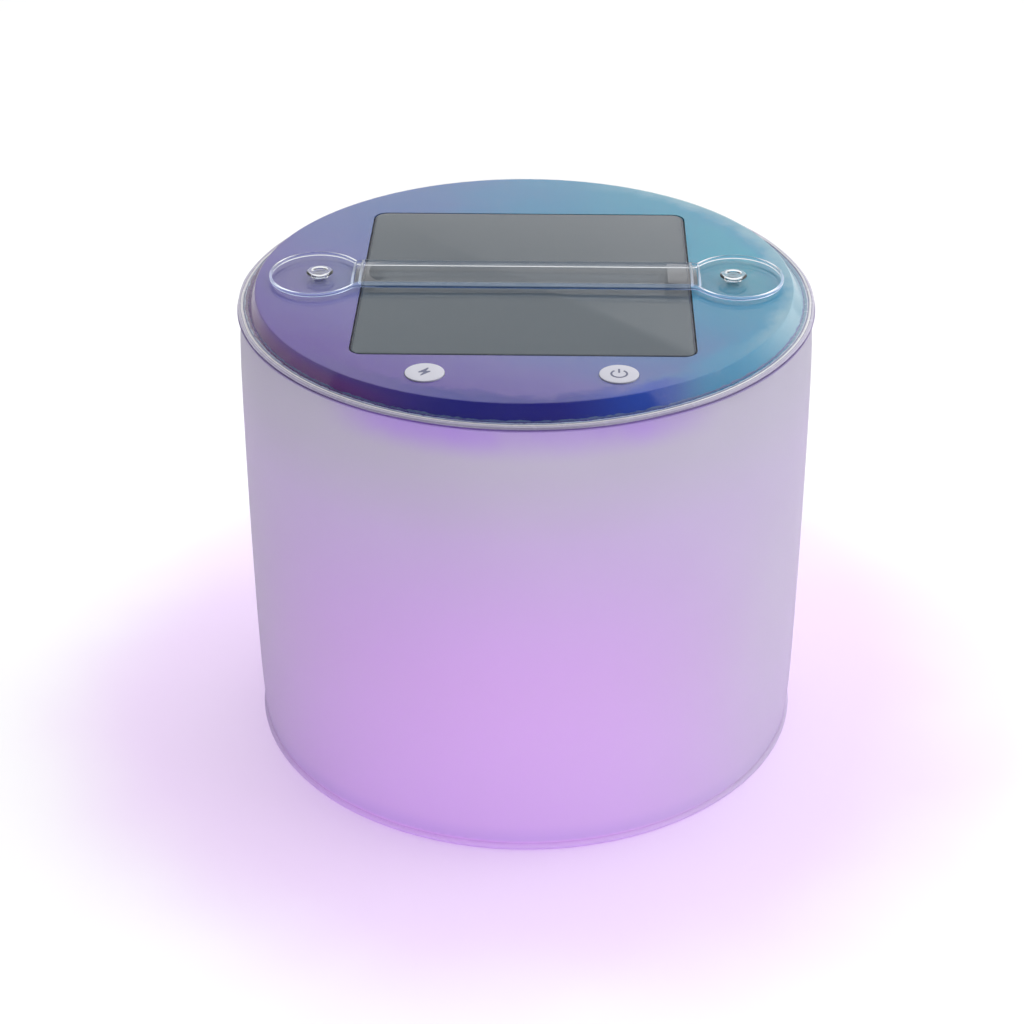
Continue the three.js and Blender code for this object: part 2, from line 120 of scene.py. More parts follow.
def smooth(piece, degrees=35):
    piece.data.shade_smooth()
    piece.data.set_sharp_from_angle(angle=math.radians(degrees))
    return piece


def freeze(piece):
    """Applies the piece's modifiers."""
    graph = bpy.context.evaluated_depsgraph_get()
    mesh = bpy.data.meshes.new_from_object(piece.evaluated_get(graph))
    piece.modifiers.clear()
    piece.data = mesh
    return piece


def carve(piece, cutters):
    """Cuts the cutters out of the piece, and deletes them."""
    for cutter in cutters:
        cut = piece.modifiers.new("cut", "BOOLEAN")
        cut.object = cutter
        cut.solver = "EXACT"
    freeze(piece)
    for cutter in cutters:
        bpy.data.objects.remove(cutter)
    return piece


def revolve(name, profile, closed=False, segments=ROUND_SEGMENTS, centre=(0, 0), shape=None):
    """Turns a profile of (radius, height) about a vertical axis.

    A closed profile joins its last point to its first. shape(angle, radius, height), where it is given,
    returns the radius and height that a point moves to.
    """
    vertices, rings = [], []
    for radius, height in profile:
        count = segments if radius > 1e-7 else 1
        rings.append(range(len(vertices), len(vertices) + count))
        for i in range(count):
            angle = 2 * math.pi * i / segments
            r, z = shape(angle, radius, height) if shape else (radius, height)
            vertices.append((centre[0] + r * math.cos(angle), centre[1] + r * math.sin(angle), z))
    faces = []
    pairs = list(zip(rings, rings[1:])) + ([(rings[-1], rings[0])] if closed else [])
    for low, high in pairs:
        for i in range(segments):
            j = (i + 1) % segments
            if len(low) > 1 and len(high) > 1:
                faces.append((low[i], low[j], high[j], high[i]))
            elif len(low) > 1:
                faces.append((low[i], low[j], high[0]))
            elif len(high) > 1:
                faces.append((low[0], high[j], high[i]))
    return object_from(name, vertices, faces)


def arc(radius, height, bend, start, end, steps=10):
    """Points of a (radius, height) arc of the given bend radius, between two angles in degrees."""
    angles = [math.radians(start + (end - start) * i / steps) for i in range(steps + 1)]
    return [(radius + bend * math.cos(a), height + bend * math.sin(a)) for a in angles]


def prism(name, outline, low, high, bevel=0.0, segments=3):
    """A closed solid with the outline's plan, with its edges rounded by bevel."""
    shape = bmesh.new()
    corners = [shape.verts.new((x, y, low)) for x, y in outline]
    floor = shape.faces.new(corners)
    top = bmesh.ops.extrude_face_region(shape, geom=[floor])["geom"]
    lifted = [v for v in top if isinstance(v, bmesh.types.BMVert)]
    bmesh.ops.translate(shape, verts=lifted, vec=(0, 0, high - low))
    bmesh.ops.recalc_face_normals(shape, faces=shape.faces)
    if bevel:
        level = [e for e in shape.edges if abs(e.verts[0].co.z - e.verts[1].co.z) < 1e-9]
        bmesh.ops.bevel(shape, geom=level, offset=bevel, segments=segments, affect="EDGES", profile=0.5)
    mesh = bpy.data.meshes.new(name)
    shape.to_mesh(mesh)
    shape.free()
    return make_object(name, mesh)


def circle(radius, x=0.0, y=0.0, count=64, start=0.0, sweep=2 * math.pi):
    """Points of a circle, or of the part of it that starts at an angle and sweeps on from there."""
    full = abs(sweep - 2 * math.pi) < 1e-9
    steps = count if full else count - 1
    angles = [start + sweep * i / steps for i in range(count)]
    return [(x + radius * math.cos(a), y + radius * math.sin(a)) for a in angles]


def rounded_rectangle(low, high, corner, steps=10):
    points = []
    for i, (x, y) in enumerate([(high.x, high.y), (low.x, high.y), (low.x, low.y), (high.x, low.y)]):
        inset_x = x - math.copysign(corner, x)
        inset_y = y - math.copysign(corner, y)
        points += circle(corner, inset_x, inset_y, steps, i * math.pi / 2, math.pi / 2)
    return points


def ripple(angle, waves, seed):
    """A smooth random number for an angle round the drum, the same after a full turn."""
    spot = Vector((math.cos(angle), math.sin(angle), 0)) * waves / (2 * math.pi)
    return noise.noise(spot + Vector((0, 0, seed)))


# ---- material helpers ----
def node(tree, kind, inputs=None, **settings):
    made = tree.nodes.new("ShaderNode" + kind)
    for key, value in settings.items():
        setattr(made, key, value)
    for key, value in (inputs or {}).items():
        if isinstance(value, bpy.types.NodeSocket):
            tree.links.new(value, made.inputs[key])
        else:
            made.inputs[key].default_value = value
    return made


def ramp(tree, factor, stops):
    """A colour for each factor, from stops of (position, colour)."""
    made = node(tree, "ValToRGB", {"Fac": factor})
    elements = made.color_ramp.elements
    elements.remove(elements[1])
    elements[0].position = stops[0][0]
    elements[0].color = (*stops[0][1], 1)
    for position, colour in stops[1:]:
        elements.new(position).color = (*colour, 1)
    return made.outputs["Color"]


def grey(value):
    return (value, value, value)


def mix(tree, factor, first, second, blend_type="MIX"):
    made = node(tree, "Mix", data_type="RGBA", blend_type=blend_type)
    for socket, value in zip([made.inputs[0], made.inputs[6], made.inputs[7]], [factor, first, second]):
        if isinstance(value, bpy.types.NodeSocket):
            tree.links.new(value, socket)
        else:
            socket.default_value = (*value, 1) if isinstance(value, tuple) else value
    return made.outputs[2]


def maths(tree, operation, first, second=0.0):
    return node(tree, "Math", {0: first, 1: second}, operation=operation).outputs[0]


def product(tree, *factors):
    result = factors[0]
    for factor in factors[1:]:
        result = maths(tree, "MULTIPLY", result, factor)
    return result


def total(tree, *terms):
    result = terms[0]
    for term in terms[1:]:
        result = maths(tree, "ADD", result, term)
    return result


def place(tree):
    """The frame's own coordinates of a point, as a vector."""
    return node(tree, "TexCoord").outputs["Object"]


def axes(tree):
    """A point's x, y and z in the frame."""
    made = node(tree, "SeparateXYZ", {"Vector": place(tree)})
    return made.outputs["X"], made.outputs["Y"], made.outputs["Z"]


def height_of(tree):
    return axes(tree)[2]


def distance(tree):
    """How far a point is from the drum's axis."""
    x, y, _ = axes(tree)
    flat = node(tree, "CombineXYZ", {"X": x, "Y": y}).outputs[0]
    return node(tree, "VectorMath", {0: flat}, operation="LENGTH").outputs["Value"]


def fade(tree, value, start, end):
    """0 where value is start, 1 where it is end, with a soft change between them."""
    inputs = {"Value": value, "From Min": start, "From Max": end}
    return node(tree, "MapRange", inputs, interpolation_type="SMOOTHSTEP").outputs["Result"]


def cloud(tree, size, detail=3.0, roughness=0.5):
    """Noise whose blotches are about size metres across."""
    inputs = {"Vector": place(tree), "Scale": 1 / size, "Detail": detail, "Roughness": roughness}
    return node(tree, "TexNoise", inputs).outputs["Fac"]


def wander(tree, size, reach, detail=3.0, roughness=0.5):
    """Noise between about -reach and reach."""
    off_centre = maths(tree, "SUBTRACT", cloud(tree, size, detail, roughness), 0.5)
    return maths(tree, "MULTIPLY", off_centre, 4 * reach)


def bump(tree, height, depth, strength=1.0, normal=None):
    inputs = {"Height": height, "Distance": depth, "Strength": strength}
    if normal:
        inputs["Normal"] = normal
    return node(tree, "Bump", inputs).outputs["Normal"]


def principled(name, **values):
    """A material with one Principled shader. Names of values are its sockets', with _ for a space."""
    material = bpy.data.materials.new(name)
    material.use_nodes = True
    shader = material.node_tree.nodes["Principled BSDF"]
    for key, value in values.items():
        shader.inputs[key.replace("_", " ")].default_value = value
    return material, material.node_tree, shader


def connect(tree, shader, **sockets):
    """Links node outputs to the shader's sockets, which are named as in principled()."""
    for key, socket in sockets.items():
        tree.links.new(socket, shader.inputs[key.replace("_", " ")])


def worn(name, colour, roughness, grain, spread=0.12, depth=0.02 * MM, **values):
    """A moulded or coated surface: slight colour blotches, uneven gloss and a fine grain."""
    material, tree, shader = principled(name, **values)
    blotch = cloud(tree, grain * 12)
    fine = cloud(tree, grain, 5.0, 0.6)
    dark = tuple(c * (1 - spread) for c in colour)
    light = tuple(min(1.0, c * (1 + spread)) for c in colour)
    smooth_spots = grey(roughness * 0.85)
    rough_spots = grey(min(1.0, roughness * 1.2))
    connect(
        tree,
        shader,
        Base_Color=ramp(tree, blotch, [(0.3, dark), (0.7, light)]),
        Roughness=ramp(tree, fine, [(0.3, smooth_spots), (0.7, rough_spots)]),
        Normal=bump(tree, fine, depth, 0.5),
    )
    return material


# ---- materials ----
def frosted_film():
    """Translucent film, lit from inside, most of all at the foot of its front and under the rim. This
    light, and the shade under the rim, are painted into its colour and its glow.
    """
    material, tree, shader = principled(
        "frosted_film",
        IOR=1.45,
        Transmission_Weight=0.35,
        Emission_Strength=1.0,
        Specular_IOR_Level=0.25,
    )
    x, y, z = axes(tree)
    height = maths(tree, "DIVIDE", z, WALL_HIGH.z)
    # Painted glow by height: bright at the foot, a painted highlight along the bead's top, painted
    # shade just above the bead, then fading towards the top.
    glow = ramp(
        tree,
        height,
        [
            (0.0, (0.14, 0.05, 0.22)),
            (0.01, (0.16, 0.06, 0.24)),
            (0.015, (0.2, 0.07, 0.24)),
            (0.02, (0.06, 0.01, 0.15)),
            (0.06, (0.11, 0.035, 0.17)),
            (0.4, (0.08, 0.012, 0.125)),
            (0.75, (0.065, 0.0, 0.13)),
            (0.9, (0.015, 0.0, 0.04)),
            (1.0, (0.01, 0.0, 0.03)),
        ],
    )
    patches = cloud(tree, 30 * MM, 2.0)
    grain = cloud(tree, 0.35 * MM, 4.0, 0.6)
    soft = cloud(tree, 25 * MM, 2.0)
    milk = ramp(tree, patches, [(0.3, (0.6, 0.575, 0.675)), (0.7, (0.62, 0.6, 0.695))])
    # The front of the wall, low down, is painted pinker and glows more: painted light from the lit base
    # seen through the film.
    facing = total(tree, product(tree, y, -0.99), product(tree, x, -0.12))
    front_glow = product(tree, fade(tree, facing, 22 * MM, 67 * MM), fade(tree, z, 105 * MM, 45 * MM))
    film = mix(tree, front_glow, milk, (0.585, 0.49, 0.67))
    seam = fade(tree, z, WALL_HIGH.z - 0.9 * MM, WALL_HIGH.z - 0.3 * MM)
    share = ramp(tree, front_glow, [(0.0, grey(0.35)), (1.0, grey(0.95))])
    # Just under the rim, at the front and back, the colour is darkened as painted shade from the rim,
    # and the glow turns a stronger purple as painted lamp light.
    lamps = lamp_light(tree, y, z)
    lit = mix(tree, lamps, film, (0.45, 0.31, 0.66))
    connect(
        tree,
        shader,
        Base_Color=mix(tree, seam, lit, (0.38, 0.31, 0.55)),
        Roughness=ramp(tree, grain, [(0.3, grey(0.5)), (0.7, grey(0.62))]),
        Emission_Color=mix(tree, lamps, mix(tree, 1.0, glow, share, "MULTIPLY"), (0.05, 0.006, 0.13)),
        Normal=bump(tree, grain, 0.02 * MM, 0.4, bump(tree, soft, 0.6 * MM, 0.3)),
    )
    return material


def lamp_light(tree, y, z):
    """Where the lamps light the wall just under its top seam, at the front and back."""
    top = WALL_HIGH.z
    below = fade(tree, z, top - 8 * MM, top - 1.5 * MM)
    facing = fade(tree, maths(tree, "ABSOLUTE", y), 46 * MM, 61 * MM)
    patches = ramp(tree, cloud(tree, 14 * MM, 2.0), [(0.3, grey(0.5)), (0.65, grey(0.85))])
    return product(tree, below, facing, patches)


def base_material():
    """The drum's floor, which the lamps shine on."""
    material, tree, shader = principled("lit_base", Roughness=0.5, Emission_Strength=1.0)
    outward = maths(tree, "DIVIDE", distance(tree), RIM_RADIUS)
    inside = ramp(
        tree,
        outward,
        [(0.0, (2.4, 0.6, 2.6)), (0.5, (1.4, 0.35, 1.6)), (1.0, (0.4, 0.1, 0.5))],
    )
    outside = ramp(
        tree,
        outward,
        [(0.0, (0.36, 0.16, 0.42)), (0.6, (0.24, 0.09, 0.3)), (1.0, (0.12, 0.04, 0.18))],
    )
    normal = node(tree, "TexCoord").outputs["Normal"]
    upward = fade(tree, node(tree, "SeparateXYZ", {"Vector": normal}).outputs["Z"], -0.2, 0.2)
    patches = cloud(tree, 20 * MM)
    grain = cloud(tree, 0.4 * MM, 4.0)
    connect(
        tree,
        shader,
        Base_Color=ramp(tree, patches, [(0.3, (0.68, 0.6, 0.78)), (0.7, (0.76, 0.69, 0.84))]),
        Emission_Color=mix(tree, upward, outside, inside),
        Normal=bump(tree, grain, 0.02 * MM, 0.4),
    )
    return material


def print_colours(tree):
    """The deck's colours: violet at the left, indigo in front, turquoise at the right and behind, with
    a painted pale sheen and a partly painted dark reflection on its shoulder.
    """
    x, y, _ = axes(tree)
    reach = total(tree, distance(tree), wander(tree, 10 * MM, 2.4 * MM, 5.0, 0.65))
    spread = spread_colours(tree, x, y)

    right = fade(tree, x, 20 * MM, 44 * MM)
    turquoise = product(tree, fade(tree, reach, 50 * MM, 56 * MM), right, 0.8)
    spread = mix(tree, turquoise, spread, (0.0, 0.3, 0.54))

    # A painted pale sheen on the shoulder at the right, from the side round to the back: a painted
    # reflection of the bright studio there.
    pale = product(tree, fade(tree, reach, 53.5 * MM, 59 * MM), fade(tree, x, 5 * MM, 40 * MM), 0.7)
    pale = product(tree, pale, fade(tree, y, -42 * MM, -16 * MM))
    spread = mix(tree, pale, spread, (0.36, 0.6, 0.7))

    # The dark band round the front of the shoulder is partly the print's ink and partly a painted dark
    # reflection of the dim studio in front.
    front = product(tree, fade(tree, reach, 53 * MM, 57 * MM), fade(tree, y, -32 * MM, -46 * MM))
    front = product(tree, front, fade(tree, x, 38 * MM, 26 * MM))
    ink = mix(tree, fade(tree, x, 6 * MM, 26 * MM), (0.006, 0.004, 0.3), (0.003, 0.06, 0.5))
    ink = mix(tree, fade(tree, x, -12 * MM, -36 * MM), ink, (0.085, 0.04, 0.32))
    inked = mix(tree, front, spread, ink)

    slope = fade(tree, distance(tree), 58.8 * MM, 60.3 * MM)
    left = product(tree, slope, fade(tree, x, -20 * MM, -42 * MM))
    return mix(tree, left, inked, (0.14, 0.02, 0.24))


def spread_colours(tree, x, y):
    """The print's broad change of colour across the deck."""
    front_share = maths(tree, "MULTIPLY", maths(tree, "MINIMUM", y, 0.0), 8.5)
    back_share = maths(tree, "MULTIPLY", maths(tree, "MAXIMUM", y, 0.0), 1.9)
    across = maths(tree, "MULTIPLY", x, 7.1)
    along = total(tree, across, front_share, back_share, wander(tree, 22 * MM, 0.05), 0.615)
    return ramp(
        tree,
        along,
        [
            (0.0, (0.1, 0.035, 0.36)),
            (0.23, (0.145, 0.115, 0.44)),
            (0.33, (0.12, 0.145, 0.45)),
            (0.54, (0.07, 0.18, 0.46)),
            (0.71, (0.015, 0.25, 0.49)),
            (0.88, (0.003, 0.31, 0.51)),
            (1.0, (0.006, 0.38, 0.55)),
        ],
    )


def glossy_ripples(tree):
    """The gentle waves of clear film over a flat surface."""
    wide = bump(tree, cloud(tree, 26 * MM, 2.0), 0.5 * MM, 0.5)
    return bump(tree, cloud(tree, 7 * MM, 2.0), 0.08 * MM, 0.5, wide)


def printed_deck():
    """The coloured print under its glossy film, with a ragged pale line where it ends at the rim."""
    material, tree, shader = principled(
        "printed_deck",
        Roughness=0.5,
        Specular_IOR_Level=0.1,
        Coat_Weight=1.0,
        Coat_Roughness=0.04,
        Coat_IOR=1.5,
    )
    ragged = maths(tree, "SUBTRACT", height_of(tree), wander(tree, 2 * MM, 0.28 * MM, 5.0, 0.7))
    edge = fade(tree, ragged, RIM_TOP + 0.3 * MM, RIM_TOP + 0.18 * MM)
    speckle = ramp(tree, cloud(tree, 0.3 * MM, 2.0), [(0.35, grey(0.86)), (0.65, grey(1.0))])
    colour = mix(tree, 1.0, print_colours(tree), speckle, "MULTIPLY")
    connect(
        tree,
        shader,
        Base_Color=mix(tree, edge, colour, (0.13, 0.2, 0.42)),
        Coat_Normal=glossy_ripples(tree),
    )
    return material


def solar_laminate():
    """Grey laminate with fine lines from left to right, and a dark line round its edge."""
    material, tree, shader = principled(
        "solar_laminate",
        Roughness=0.6,
        Specular_IOR_Level=0.05,
        Coat_Weight=0.7,
        Coat_Roughness=0.1,
        Coat_IOR=1.5,
    )
    x, y, _ = axes(tree)
    pitch, border = 0.55 * MM, 0.45 * MM
    wave = maths(tree, "SINE", maths(tree, "MULTIPLY", y, 2 * math.pi / pitch))
    lines = ramp(tree, fade(tree, wave, -1.0, 1.0), [(0.0, grey(0.7)), (1.0, grey(1.0))])
    patch = cloud(tree, 16 * MM, 3.0)
    # The laminate is painted lighter towards the front: painted light that evens out the darker
    # reflection there.
    back = ramp(tree, patch, [(0.3, (0.08, 0.105, 0.13)), (0.7, (0.085, 0.111, 0.137))])
    front = ramp(tree, patch, [(0.3, (0.118, 0.148, 0.174)), (0.7, (0.124, 0.155, 0.182))])
    body = mix(tree, fade(tree, y, 30 * MM, -35 * MM), back, front)
    lined = mix(tree, 1.0, body, lines, "MULTIPLY")
    side = maths(tree, "SUBTRACT", maths(tree, "ABSOLUTE", x), PANEL_HIGH.x - border)
    end = maths(tree, "SUBTRACT", maths(tree, "ABSOLUTE", y), PANEL_HIGH.y - border)
    rim = fade(tree, maths(tree, "MAXIMUM", side, end), -0.1 * MM, 0.1 * MM)
    connect(
        tree,
        shader,
        Base_Color=mix(tree, rim, lined, (0.015, 0.025, 0.05)),
        Coat_Normal=bump(tree, cloud(tree, 9 * MM, 2.0), 0.02 * MM, 0.5),
    )
    return material


def clear_film():
    """Clear film that shows little more than its reflections."""
    material, tree, shader = principled("clear_film", Alpha=0.02, Specular_IOR_Level=0.5, IOR=1.5)
    scuff = cloud(tree, 5 * MM, 4.0)
    connect(
        tree,
        shader,
        Base_Color=ramp(tree, scuff, [(0.3, (0.4, 0.44, 0.5)), (0.7, (0.5, 0.54, 0.6))]),
        Roughness=ramp(tree, scuff, [(0.3, grey(0.05)), (0.7, grey(0.14))]),
        Normal=bump(tree, cloud(tree, 7 * MM, 2.0), 0.05 * MM, 0.5),
    )
    return material


def welded_film():
    """The rim, where the layers of film are welded together: fine pale and dark lines run round it,
    palest on its ridges as painted highlights and darkest in its grooves as painted shade.
    """
    material, tree, shader = principled(
        "welded_film", Specular_IOR_Level=0.5, Coat_Weight=1.0, Coat_Roughness=0.1
    )
    reach = total(tree, distance(tree), wander(tree, 9 * MM, 0.1 * MM), -DOME_RADIUS)
    # The weld's lines are painted palest on the ridges' tops, as painted highlights, and darkest in the
    # grooves between them, as painted shade.
    lines = ramp(
        tree,
        maths(tree, "DIVIDE", reach, RIM_WIDTH),
        [
            (0.04, (0.3, 0.42, 0.58)),
            (0.1, (0.4, 0.48, 0.6)),
            (0.16, (0.12, 0.13, 0.3)),
            (0.26, (0.2, 0.22, 0.38)),
            (0.32, (0.8, 0.78, 0.82)),
            (0.52, (0.85, 0.83, 0.86)),
            (0.58, (0.22, 0.19, 0.36)),
            (0.68, (0.55, 0.52, 0.66)),
            (0.86, (0.4, 0.36, 0.54)),
            (1.0, (0.5, 0.47, 0.62)),
        ],
    )
    ragged = total(tree, reach, wander(tree, 2.5 * MM, 0.22 * MM, 5.0, 0.7))
    inked = fade(tree, ragged, 0.15 * MM, 0.0)
    printed = mix(tree, 1.0, print_colours(tree), (0.6, 0.6, 0.7), "MULTIPLY")
    # The rim's edge is painted darker towards its underside: painted shade under the rim.
    under = fade(tree, height_of(tree), RIM_TOP - 0.1 * MM, RIM_BOTTOM)
    scuff = cloud(tree, 1.6 * MM, 4.0)
    connect(
        tree,
        shader,
        Base_Color=mix(tree, under, mix(tree, inked, lines, printed), (0.15, 0.11, 0.3)),
        Roughness=ramp(tree, scuff, [(0.3, grey(0.2)), (0.7, grey(0.3))]),
    )
    return material


def clear_sheet(name, alpha, low, high):
    """Thin clear vinyl that hardly veils what is under it."""
    material, tree, shader = principled(name, Alpha=alpha, Specular_IOR_Level=0.5, IOR=1.5)
    scuff = cloud(tree, 4 * MM, 4.0)
    connect(
        tree,
        shader,
        Base_Color=ramp(tree, scuff, [(0.3, low), (0.7, high)]),
        Roughness=ramp(tree, scuff, [(0.3, grey(0.06)), (0.7, grey(0.14))]),
        Normal=bump(tree, scuff, 0.05 * MM, 0.4),
    )
    return material


def beaded_vinyl():
    """The strap's clear bead, which gathers the light, most of all at the front. This light is a
    painted glow on the bead's raised front, and painted shade darkens the foot of its front edge.
    """
    material = clear_vinyl("strap_vinyl", (0.93, 0.965, 1.0), 0.05)
    tree = material.node_tree
    shader = tree.nodes["Principled BSDF"]
    x, y, z = axes(tree)
    shader.inputs["Emission Strength"].default_value = 1.0
    pads = fade(tree, maths(tree, "ABSOLUTE", x), 30 * MM, 42 * MM)
    raised = fade(tree, z, BAND_LOW.z + 0.35 * MM, BAND_LOW.z + 0.6 * MM)
    front = fade(tree, y, 4 * MM, -4 * MM)
    # Painted glow on the raised front of the bead, stronger at the pads.
    bright = mix(tree, pads, (0.04, 0.055, 0.08), (0.1, 0.12, 0.16))
    lit = mix(tree, product(tree, raised, front), (0.002, 0.005, 0.012), bright)
    # Painted shade at the foot of the band's front edge, deep navy; at the pads the foot is tinted pale
    # blue.
    below = mix(tree, pads, (0.05, 0.11, 0.26), (0.6, 0.68, 0.88))
    dark = product(tree, front, maths(tree, "SUBTRACT", 1.0, raised))
    connect(tree, shader, Emission_Color=lit, Base_Color=mix(tree, dark, (0.96, 0.98, 1.0), below))
    return material


def clear_vinyl(name, tint, roughness):
    """Clear flexible vinyl that bends the light."""
    material, tree, shader = principled(name, IOR=1.45, Transmission_Weight=1.0, Specular_IOR_Level=0.5)
    scuff = cloud(tree, 3 * MM, 4.0)
    low = tuple(c * 0.97 for c in tint)
    connect(
        tree,
        shader,
        Base_Color=ramp(tree, scuff, [(0.3, low), (0.7, tint)]),
        Roughness=ramp(tree, scuff, [(0.35, grey(roughness)), (0.7, grey(roughness + 0.05))]),
        Normal=bump(tree, scuff, 0.03 * MM, 0.3),
    )
    return material


def circuit_board():
    """Green solder mask with a pattern of tracks."""
    material, tree, shader = principled(
        "circuit_board", Roughness=0.35, Coat_Weight=0.5, Coat_Roughness=0.2
    )
    cell_size = 4 * MM
    inputs = {"Vector": place(tree), "Scale": 1 / cell_size}
    edge = node(tree, "TexVoronoi", inputs, feature="DISTANCE_TO_EDGE").outputs["Distance"]
    connect(
        tree,
        shader,
        Base_Color=ramp(tree, edge, [(0.04, (0.03, 0.16, 0.07)), (0.07, (0.015, 0.08, 0.035))]),
        Normal=bump(tree, edge, 0.05 * MM, 0.5),
    )
    return material


def lamp_package():
    """A white case round a yellow lens, which shines downwards."""
    material, tree, shader = principled("lamp_package", Roughness=0.3, Emission_Strength=1.5)
    lens = fade(tree, height_of(tree), LENS_TOP + 0.1 * MM, LENS_TOP - 0.1 * MM)
    speck = cloud(tree, 1 * MM)
    connect(
        tree,
        shader,
        Base_Color=mix(tree, lens, (0.85, 0.85, 0.82), (0.9, 0.8, 0.35)),
        Emission_Color=mix(tree, lens, grey(0.0), (0.8, 0.3, 1.0)),
        Normal=bump(tree, speck, 0.02 * MM, 0.4),
    )
    return material


FROSTED = frosted_film()
LIT_BASE = base_material()
PRINT = printed_deck()
LAMINATE = solar_laminate()
CLEAR = clear_film()
WELDED = welded_film()
STRAP_VINYL = beaded_vinyl()
STRAP_SHEET = clear_sheet("strap_sheet", 0.04, (0.5, 0.54, 0.6), (0.6, 0.64, 0.7))
STRAP_MATTE = clear_sheet("strap_matte", 0.17, (0.58, 0.6, 0.64), (0.68, 0.7, 0.74))
STUD_VINYL = clear_vinyl("stud_vinyl", (0.96, 0.98, 1.0), 0.04)
SOFT_VINYL = clear_vinyl("soft_vinyl", (0.9, 0.9, 0.95), 0.15)
BUTTON_FACE = worn(
    "button_face", (0.66, 0.66, 0.76), 0.35, 0.4 * MM, 0.03, Coat_Weight=0.6, Coat_Roughness=0.1
)
ICON_INK = worn("icon_ink", (0.15, 0.16, 0.26), 0.5, 0.2 * MM, 0.1)
PLAIN = {
    "white_plastic": worn("white_plastic", (0.86, 0.86, 0.84), 0.45, 0.5 * MM, 0.03),
    "clear_plate": worn("milky_plate", (0.9, 0.88, 0.94), 0.3, 0.5 * MM, 0.03, Transmission_Weight=0.4),
    "clear_vinyl": SOFT_VINYL,
    "clear_stud": STUD_VINYL,
    "strap_vinyl": STRAP_VINYL,
    "cover_film": CLEAR,
    "frosted_film": FROSTED,
    "printed_deck": PRINT,
    "solar_panel": LAMINATE,
    "button_face": BUTTON_FACE,
    "circuit_board": circuit_board(),
    "led_package": lamp_package(),
    "steel": worn("plated_steel", (0.7, 0.7, 0.72), 0.28, 0.3 * MM, 0.08, Metallic=1.0),
    "foil_pouch": worn("foil_pouch", (0.72, 0.74, 0.76), 0.35, 1.2 * MM, 0.1, 0.15 * MM, Metallic=1.0),
    "black_plastic": worn("black_plastic", (0.02, 0.02, 0.023), 0.4, 0.4 * MM),
    "black_foam": worn("black_foam", (0.03, 0.03, 0.033), 0.9, 0.5 * MM, 0.2, 0.2 * MM),
    "red_lead": worn("red_lead", (0.5, 0.03, 0.025), 0.35, 0.3 * MM),
}


def finish_piece(piece, body, material, slot, *nodes):
    """Gives the piece its material and its body to ride on, and hides the CAD nodes that it stands for.
    """
    piece.data.materials.clear()
    piece.data.materials.append(material)
    if body:
        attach(piece, body)
    if nodes:
        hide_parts(*nodes)
    return smooth(piece)


# ---- carried-over CAD nodes ----
for subpart in frame["record"]["subparts"]:
    mesh = frame["nodes"][subpart["node"]].data
    mesh.materials.clear()
    mesh.materials.append(PLAIN[subpart["material_slot"]])


# ---- drum ----
WALL_RADIUS = WALL_HIGH.x
BARREL = 0.45 * MM
PINCH = 0.9 * MM
PINCH_HEIGHT = 5 * MM
BEAD_HEIGHT = 1.5 * MM
HEM_RADIUS = 59.9 * MM
BASE_FILM = 0.6 * MM


def smoothstep(share):
    return share * share * (3 - 2 * share)


def wall_radius(z):
    """The drum bulges a little halfway up, and is pinched in at both seams."""
    middle = WALL_HIGH.z / 2
    barrel = BARREL * ((z - middle) / middle) ** 2
    pinch = math.exp(-z / PINCH_HEIGHT) + math.exp(-(WALL_HIGH.z - z) / PINCH_HEIGHT)
    return WALL_RADIUS - barrel - PINCH * pinch


def film_waves(angle, radius, height):
    """Small puckers where the wall is gathered into its seams, and broad waves between them."""
    welded = height > WALL_HIGH.z - 0.8 * MM or height < BEAD_HEIGHT + 0.2 * MM
    off_flange = math.exp(-(((radius - 60 * MM) / (3 * MM)) ** -8))
    top = 0 if welded else math.exp(-(WALL_HIGH.z - height) / (7 * MM)) * off_flange
    foot = 0 if welded else math.exp(-height / (6 * MM))
    seam = ripple(angle, 46, 1.3) * 0.22 * MM * top
    hem = ripple(angle, 38, 4.7) * 0.2 * MM * foot
    broad = ripple(angle, 9, height * 18) * 0.1 * MM * math.sin(math.pi * height / WALL_HIGH.z)
    return radius + seam + hem + broad, height


def make_wall():
    """The frosted film tube, with a flange at its top and a bead and a tucked hem at its foot."""
    high = WALL_HIGH.z - FILM
    steps = 44
    shares = [0.5 - 0.5 * math.cos(math.pi * i / steps) for i in range(steps + 1)]
    heights = [BEAD_HEIGHT + s * (high - BEAD_HEIGHT) for s in shares]
    bead = arc(RIM_RADIUS - BEAD_HEIGHT / 2, BEAD_HEIGHT / 2, BEAD_HEIGHT / 2, -90, 90, 8)
    profile = (
        [(HEM_RADIUS, 0.0)]
        + bead
        + [(wall_radius(z), z) for z in heights]
        + arc(RIM_RADIUS - FILM / 2, high + FILM / 2, FILM / 2, -90, 90, 4)
        + [(DOME_RADIUS, WALL_HIGH.z), (DOME_RADIUS, high)]
        + [(wall_radius(z) - FILM, z) for z in reversed(heights)]
        + [(wall_radius(BEAD_HEIGHT) - FILM, FILM), (HEM_RADIUS, FILM)]
    )
    wall = revolve("drum_wall", profile, closed=True, shape=film_waves)
    finish_piece(wall, "base", FROSTED, "frosted_film", "side_wall")
    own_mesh(wall)
    return wall


